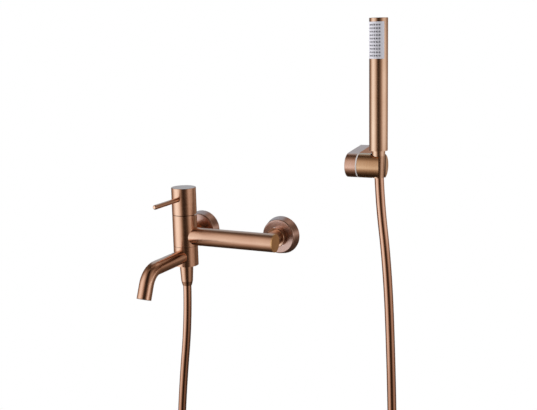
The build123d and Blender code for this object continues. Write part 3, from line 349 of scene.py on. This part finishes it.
cast_brass = grained("cast brass", "#C9A468", "#A98349", 0.4, metallic=1)
turned_steel = grained("turned steel", "#B4B5B7", "#8F9194", 0.3, metallic=1)
black_rubber = grained("black rubber", "#1C1C1D", "#111112", 0.7, ior=1.52)
pale_silicone = grained("pale silicone", "#EAE8F0", "#DFDDE6", 0.4, ior=1.43)
dark_nozzle = grained("dark nozzle silicone", "#35343A", "#232226", 0.55, ior=1.43)
white_acetal = grained("white acetal", "#E9E2E0", "#D8D0CE", 0.4, ior=1.48)
black_acetal = grained("black acetal", "#100B09", "#080605", 0.5, ior=1.48)
grey_plastic = grained("grey moulded plastic", "#77797D", "#66686C", 0.5)
alumina = grained("polished alumina", "#E8E2D6", "#DDD5C6", 0.15, ior=1.76)
print("all finishes", len(bpy.data.materials))

# %% [markdown]
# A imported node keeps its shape, and only its finish changes here. Each node could be dressed on a line
# of its own, but a table from finish to nodes shows at a glance what is made of what. The scratches run
# round each turned piece, so a piece gets the copper whose lines are square to its own axis.

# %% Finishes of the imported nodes
FINISHES = {
    copper_body: ["mixer_body"],
    copper_upright: ["handle_cap", "spout_ring", "hose_nut", "screw_plug"],
    copper_shaded: ["dome_cover"],
    copper_outward: ["lever_pin", "spout_tube", "coupling_nut_left", "coupling_nut_right"],
    copper_plate: ["escutcheon_left", "escutcheon_right"],
    copper_end: ["bar_end_plug"],
    copper_holder: ["fork_head"],
    copper_eye: ["holder_arm", "arm_cap"],
    copper_handset: ["handset_tube", "handset_top_cap", "handset_cone"],
    copper_hose: ["hose"],
    cast_brass: ["union_left", "union_right", "retaining_nut", "outlet_core", "mount_plate",
                 "upper_hose_nut", "inlet_tail", "pivot_screw"],
    turned_steel: ["pivot_pin", "valve_stem", "handle_grub_screw", "wall_screws", "arm_grub_screw",
                   "pivot_spring_washer"],
    black_rubber: ["bar_plug_seal", "union_gaskets", "port_seal", "core_seal_rings", "hose_washer",
                   "tail_washer"],
    pale_silicone: ["spray_face", "spray_membrane"],
    white_acetal: ["check_valve_bodies", "disc_driver", "slip_ring", "friction_washer", "inner_tube",
                   "pivot_bush"],
    grey_plastic: ["check_valve_poppets", "cartridge_housing", "cartridge_base", "stem_carrier",
                   "diverter_sleeve", "aerator_shell", "aerator_grid", "spray_manifold"],
    black_acetal: ["fork_liner"],
    alumina: ["fixed_ceramic_disc", "moving_ceramic_disc"],
}
dressed = 0
for material, names in FINISHES.items():
    for name in names:
        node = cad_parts[name]
        node.data.materials.clear()
        node.data.materials.append(material)
        dressed += 1
hose.data.materials.clear()
hose.data.materials.append(copper_hose)
print("dressed nodes", dressed)

# %% [markdown]
# Fifty dark silicone tips stand in ten rows on the pale spray face. Each grips its hole with a flat lip
# and ends in a jet. They could be copied in a loop, but they follow a rule, so Geometry Nodes make
# them: a grid of points is bent round the handset, and one tip is set on each point. The sizes are
# inputs of the tree. Each of the four steps from the lip to the jet's mouth is a rise and the scale of
# the ring that ends it.

# %% Tree of the nozzle tips
HANDSET_DIAMETER = 27.6 * MM
NOZZLE_SIZES = {
    "Rows": 10,
    "Columns": 5,
    "Row Pitch": 4.9 * MM,
    "Column Angle": math.radians(16.4),
    "Face Turn": math.radians(-8.2),
    "Face Radius": HANDSET_DIAMETER / 2,
    "Lip Radius": 1.35 * MM,
    "Lip Height": 0.4 * MM,
    "Face Centre": Vector((*HANDSET_AXIS, 315.9)) * MM,
}
NOZZLE_SIDES = 12
NOZZLE_STEPS = [(0, 0.7), (0.35 * MM, 0.85), (0, 0.5), (-0.25 * MM, 0.9)]


def nozzle_tree(sizes):
    """Node tree that sets one tip on each point of a grid bent round the handset."""
    tree = bpy.data.node_groups.new("nozzle_tips", "GeometryNodeTree")
    tree.interface.new_socket("Geometry", in_out="OUTPUT", socket_type="NodeSocketGeometry")
    for name, value in sizes.items():
        kind = {int: "Int", float: "Float", Vector: "Vector"}[type(value)]
        tree.interface.new_socket(name, in_out="INPUT", socket_type="NodeSocket" + kind)
    given = add_node(tree, "NodeGroupInput").outputs
    spans = []
    for count, pitch in (("Columns", "Column Angle"), ("Rows", "Row Pitch")):
        whole = add_node(tree, "ShaderNodeMath", {"operation": "MULTIPLY"},
                         {0: given[count], 1: given[pitch]})
        span = add_node(tree, "ShaderNodeMath", {"operation": "SUBTRACT"},
                        {0: whole.outputs["Value"], 1: given[pitch]})
        spans.append(span.outputs["Value"])
    grid = add_node(tree, "GeometryNodeMeshGrid",
                    inputs={"Size X": spans[0], "Size Y": spans[1], "Vertices X": given["Columns"],
                            "Vertices Y": given["Rows"]})
    flat = add_node(tree, "ShaderNodeSeparateXYZ",
                    inputs={0: add_node(tree, "GeometryNodeInputPosition").outputs["Position"]})
    turn = add_node(tree, "ShaderNodeMath", {"operation": "ADD"},
                    {0: flat.outputs["X"], 1: given["Face Turn"]})
    marked = add_node(tree, "GeometryNodeStoreNamedAttribute",
                      {"data_type": "FLOAT", "domain": "POINT"},
                      {"Geometry": grid.outputs["Mesh"], "Name": "turn",
                       "Value": turn.outputs["Value"]})
    angle = add_node(tree, "GeometryNodeInputNamedAttribute", {"data_type": "FLOAT"},
                     {"Name": "turn"}).outputs["Attribute"]
    reach = []
    for wave in ("SINE", "COSINE"):
        share = add_node(tree, "ShaderNodeMath", {"operation": wave}, {0: angle})
        length = add_node(tree, "ShaderNodeMath", {"operation": "MULTIPLY"},
                          {0: share.outputs["Value"], 1: given["Face Radius"]})
        reach.append(length.outputs["Value"])
    outward = add_node(tree, "ShaderNodeMath", {"operation": "MULTIPLY"}, {0: reach[1], 1: -1})
    bent = add_node(tree, "ShaderNodeCombineXYZ", inputs={"X": reach[0], "Y": outward.outputs["Value"],
                                                          "Z": flat.outputs["Y"]})
    place = add_node(tree, "ShaderNodeVectorMath", {"operation": "ADD"},
                     {0: bent.outputs["Vector"], 1: given["Face Centre"]})
    points = add_node(tree, "GeometryNodeSetPosition",
                      inputs={"Geometry": marked.outputs["Geometry"],
                              "Position": place.outputs["Vector"]})
    lip = add_node(tree, "GeometryNodeMeshCylinder",
                   inputs={"Vertices": NOZZLE_SIDES, "Radius": given["Lip Radius"],
                           "Depth": given["Lip Height"]})
    tip, top = lip.outputs["Mesh"], lip.outputs["Top"]
    for rise, scale in NOZZLE_STEPS:
        raised = add_node(tree, "GeometryNodeExtrudeMesh", {"mode": "FACES"},
                          {"Mesh": tip, "Selection": top, "Offset Scale": rise})
        top = raised.outputs["Top"]
        scaled = add_node(tree, "GeometryNodeScaleElements",
                          inputs={"Geometry": raised.outputs["Mesh"], "Selection": top, "Scale": scale})
        tip = scaled.outputs["Geometry"]
    facing = add_node(tree, "ShaderNodeCombineXYZ", inputs={"X": math.pi / 2, "Z": angle})
    set_on = add_node(tree, "GeometryNodeInstanceOnPoints",
                      inputs={"Points": points.outputs["Geometry"], "Instance": tip,
                              "Rotation": facing.outputs["Vector"]})
    real = add_node(tree, "GeometryNodeRealizeInstances",
                    inputs={"Geometry": set_on.outputs["Instances"]})
    plain = add_node(tree, "GeometryNodeRemoveAttribute", inputs={"Geometry": real.outputs["Geometry"],
                                                                  "Name": "turn"})
    dressed = add_node(tree, "GeometryNodeSetMaterial", inputs={"Geometry": plain.outputs["Geometry"],
                                                                "Material": dark_nozzle})
    add_node(tree, "NodeGroupOutput", inputs={"Geometry": dressed.outputs["Geometry"]})
    return tree


print("nozzle tips", NOZZLE_SIZES["Rows"] * NOZZLE_SIZES["Columns"])

# %% [markdown]
# A node tree works as a modifier on an object. So an empty mesh carries it, its sizes are set on the
# modifier by the identifiers of the sockets, and the result becomes a plain mesh that rides on the
# handset.

# %% Nozzle tips


def make_nozzle_tips():
    """Plain mesh of all tips, made by the node tree."""
    maker = bpy.data.objects.new("nozzle_maker", bpy.data.meshes.new("nozzle_maker"))
    bpy.context.scene.collection.objects.link(maker)
    modifier = maker.modifiers.new("nozzle_tips", "NODES")
    tree = nozzle_tree(NOZZLE_SIZES)
    modifier.node_group = tree
    for item in tree.interface.items_tree:
        if item.in_out == "INPUT":
            modifier[item.identifier] = NOZZLE_SIZES[item.name]
    return as_mesh(maker, "nozzle_tips")


nozzle_tips = make_nozzle_tips()
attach(nozzle_tips, "handset")
print("nozzle tip faces", len(nozzle_tips.data.polygons))

# %% [markdown]
# Satin metal has hardly any colour of its own: it shows what stands round it, so the studio draws the
# light and dark bands along each round piece. Lamps could do that, but their edges would show as hard
# lines in a satin coat. Here it is one round wall of soft light that only reflections see. Its glow is
# brightest in a tall field to the left of the camera, weaker in one to the right, and dark in front,
# above and below. A low panel at the right adds the handset's right band. The wall behind the object
# has its own glow at each height, and a cool grey field on its left. The tables give the glow at some
# azimuths or elevations, in degrees, and each point of the wall takes what lies between them. As in a
# warm room, the dim places are browner than the bright ones.

# %% Glow of the studio
GLOW_ROUND = [(-180, 0.16), (-160, 0.16), (-140, 0.14), (-112, 0.15), (-98, 0.28), (-86, 0.48),
              (-76, 0.8), (-66, 1.08), (-53, 1.22), (-41, 1.22), (-30, 1.1), (-20, 0.94), (-10, 0.68),
              (0, 0.34), (9, 0.1), (18, 0.04), (34, 0.03), (48, 0.06), (58, 0.17), (67, 0.38),
              (78, 0.56), (88, 0.58), (100, 0.5), (112, 0.36), (126, 0.17), (142, 0.12), (150, 0.27),
              (165, 0.24), (180, 0.16)]
GLOW_UPRIGHT = [(-90, 0.05), (-64, 0.07), (-58, 0.12), (-47, 0.26), (-38, 0.42), (-30, 0.6),
                (-23, 0.84), (-16, 1.06), (-10, 1.06), (11, 0.88), (33, 0.75), (43, 0.63), (54, 0.42),
                (62, 0.22), (70, 0.16), (90, 0.2)]
BEHIND_ROUND = [(120, 0), (142, 1), (180, 1)]
BEHIND_UPRIGHT = [(-90, 0.2), (-34, 0.35), (-26, 0.45), (-16, 0.8), (-11, 1.05), (-6, 1.7), (0, 1.4),
                  (12, 1.1), (28, 0.7), (36, 1.6), (50, 2.2), (62, 1.2), (90, 1.2)]
PANEL_ROUND = [(-180, 0), (24, 0), (38, 0.1), (50, 0.26), (62, 0.38), (76, 0.46), (90, 0.5),
               (106, 0.58), (123, 0.5), (140, 0.2), (150, 0), (180, 0)]
PANEL_UPRIGHT = [(-90, 0), (-7, 0), (-2, 1.0), (4, 1.0), (10, 0.4), (15, 0), (90, 0)]
COOL_ROUND = [(-180, 0), (-174, 0), (-164, 1), (-136, 1), (-126, 0), (180, 0)]
COOL_UPRIGHT = [(-90, 0), (-2, 0), (6, 1), (46, 1), (58, 0), (90, 0)]
COOL = (0.46, 0.58, 0.70)
DIM_TINT = (1.0, 0.68, 0.48)
BRIGHT_TINT = (1.0, 1.10, 1.20)
BRIGHT = 1.2
TINT_CURVE = 1.3


def between(table, place):
    """Value of a table of (place, value) rows between two of its places."""
    for (low, first), (high, second) in zip(table, table[1:]):
        if place <= high:
            return first + (second - first) * max(0, place - low) / (high - low)
    return table[-1][1]


def glow_at(azimuth, elevation):
    """Linear colour of the studio wall in one direction, in degrees."""
    behind = between(BEHIND_ROUND, abs(azimuth))
    upright = between(GLOW_UPRIGHT, elevation)
    upright += (between(BEHIND_UPRIGHT, elevation) - upright) * behind
    level = between(GLOW_ROUND, azimuth) * upright
    level += between(PANEL_ROUND, azimuth) * between(PANEL_UPRIGHT, elevation)
    bright = min(1, level / BRIGHT) ** TINT_CURVE
    warm = [level * (d + (b - d) * bright) for d, b in zip(DIM_TINT, BRIGHT_TINT)]
    cool = between(COOL_ROUND, azimuth) * between(COOL_UPRIGHT, elevation)
    return (*[w + (c - w) * cool for w, c in zip(warm, COOL)], 1)


print("glow left of the camera", [round(part, 2) for part in glow_at(-45, 0)])

# %% [markdown]
# An image on a sphere could carry this glow, but a colour on each point of the wall needs no file. The
# points are two degrees apart, which is closer than the satin coat can show. The camera and scattered
# light don't see the wall, and it casts no shadow.

# %% Studio wall of soft light
STUDIO_CENTRE = Vector((150, -60, 0)) * MM
STUDIO_RADIUS = 2600 * MM
WALL_STEP = 2


def make_studio_wall():
    """Round wall whose glow is a colour on each of its points."""
    columns = round(360 / WALL_STEP)
    rows = round(180 / WALL_STEP)
    points = []
    glow = []
    for row in range(rows + 1):
        elevation = -90 + WALL_STEP * row
        for column in range(columns):
            azimuth = -180 + WALL_STEP * column
            away = towards(math.radians(azimuth), math.radians(elevation))
            points.append(STUDIO_CENTRE + away * STUDIO_RADIUS)
            glow.extend(glow_at(azimuth, elevation))
    faces = []
    for row in range(rows):
        for column in range(columns):
            first = row * columns + column
            second = row * columns + (column + 1) % columns
            faces.append((first, first + columns, second + columns, second))
    mesh = bpy.data.meshes.new("studio_wall")
    mesh.from_pydata(points, [], faces)
    mesh.attributes.new("glow", "FLOAT_COLOR", "POINT").data.foreach_set("color", glow)
    material = bpy.data.materials.new("soft light of the studio wall")
    material.use_nodes = True
    tree = material.node_tree
    tree.nodes.clear()
    colours = add_node(tree, "ShaderNodeAttribute", {"attribute_name": "glow"})
    light = add_node(tree, "ShaderNodeEmission", inputs={"Color": colours.outputs["Color"]})
    add_node(tree, "ShaderNodeOutputMaterial", inputs={"Surface": light.outputs["Emission"]})
    mesh.materials.append(material)
    wall = bpy.data.objects.new("studio_wall", mesh)
    bpy.context.scene.collection.objects.link(wall)
    wall.visible_camera = False
    wall.visible_diffuse = False
    wall.visible_shadow = False
    return wall


studio_wall = make_studio_wall()
print("studio wall faces", len(studio_wall.data.polygons))

# %% [markdown]
# Plastic and rubber scatter light instead of mirroring it, so they get two plain soft lamps, the larger
# one at the left. Metal doesn't show these lamps. The table gives each lamp's azimuth and elevation in
# degrees, its distance, its size and its power in watts.

# %% Soft lamps
LAMPS = {
    "lamp_left": ((-62, 25), 2200 * MM, 1500 * MM, 46),
    "lamp_right": ((84, 20), 2200 * MM, 1000 * MM, 16),
}


def make_lamp(name, place, distance, size, power):
    """Square soft lamp that faces the studio's centre."""
    away = towards(*[math.radians(angle) for angle in place])
    data = bpy.data.lights.new(name, "AREA")
    data.size = size
    data.energy = power
    lamp = bpy.data.objects.new(name, data)
    bpy.context.scene.collection.objects.link(lamp)
    turn = away.to_track_quat("Z", "Y").to_matrix().to_4x4()
    lamp.matrix_world = Matrix.Translation(STUDIO_CENTRE + away * distance) @ turn
    lamp.visible_glossy = False


for name, (place, distance, size, power) in LAMPS.items():
    make_lamp(name, place, distance, size, power)
print("lamps", len(LAMPS))

# %% [markdown]
# The floor is plain and pale, and so is the room behind. To the camera both are as white as a page, as
# in the photograph, so the object's shadow on the floor dims only the light that the floor sends back.
# The hose and the lower side of each tube mirror the studio wall and not the floor, as they would over
# a floor far below.

# %% Floor and room
FLOOR_HEIGHT = -700 * MM
FLOOR_SIZE = 1600 * MM
FLOOR_ROUGHNESS = 0.9
ROOM_GREY = 0.3


def make_floor():
    """Plain pale floor under the hanging hose. To the camera it is as white as the room."""
    mesh = bpy.data.meshes.new("floor")
    half = FLOOR_SIZE / 2
    corners = [(STUDIO_CENTRE.x + x, STUDIO_CENTRE.y + y, FLOOR_HEIGHT)
               for x, y in ((-half, -half), (half, -half), (half, half), (-half, half))]
    mesh.from_pydata(corners, [], [(0, 1, 2, 3)])
    material, tree, shader = new_material("pale floor")
    shader.inputs["Base Color"].default_value = colour("#F4F4F4")
    shader.inputs["Roughness"].default_value = FLOOR_ROUGHNESS
    path = add_node(tree, "ShaderNodeLightPath")
    white = add_node(tree, "ShaderNodeEmission", inputs={"Color": colour("#FFFFFF")})
    mix = add_node(tree, "ShaderNodeMixShader", inputs={0: path.outputs["Is Camera Ray"],
                                                        1: shader.outputs["BSDF"],
                                                        2: white.outputs["Emission"]})
    output = [n for n in tree.nodes if n.type == "OUTPUT_MATERIAL"][0]
    tree.links.new(mix.outputs["Shader"], output.inputs["Surface"])
    mesh.materials.append(material)
    floor = bpy.data.objects.new("floor", mesh)
    bpy.context.scene.collection.objects.link(floor)
    floor.visible_glossy = False


def make_world():
    """White room for the camera and for reflections, and a softer grey for everything else."""
    world = bpy.data.worlds.new("room")
    world.use_nodes = True
    tree = world.node_tree
    tree.nodes.clear()
    path = add_node(tree, "ShaderNodeLightPath")
    seen = add_node(tree, "ShaderNodeMath", {"operation": "MAXIMUM"},
                    {0: path.outputs["Is Camera Ray"], 1: path.outputs["Is Glossy Ray"]})
    shown = add_node(tree, "ShaderNodeMath", {"operation": "MAXIMUM"},
                     {0: seen.outputs["Value"], 1: path.outputs["Is Transmission Ray"]})
    level = add_node(tree, "ShaderNodeMapRange",
                     inputs={"Value": shown.outputs["Value"], "To Min": ROOM_GREY})
    room = add_node(tree, "ShaderNodeBackground", inputs={"Color": colour("#FFFFFF"),
                                                          "Strength": level.outputs["Result"]})
    add_node(tree, "ShaderNodeOutputWorld", inputs={"Surface": room.outputs["Background"]})
    bpy.context.scene.world = world


make_floor()
make_world()
bpy.context.scene.view_settings.view_transform = "Standard"
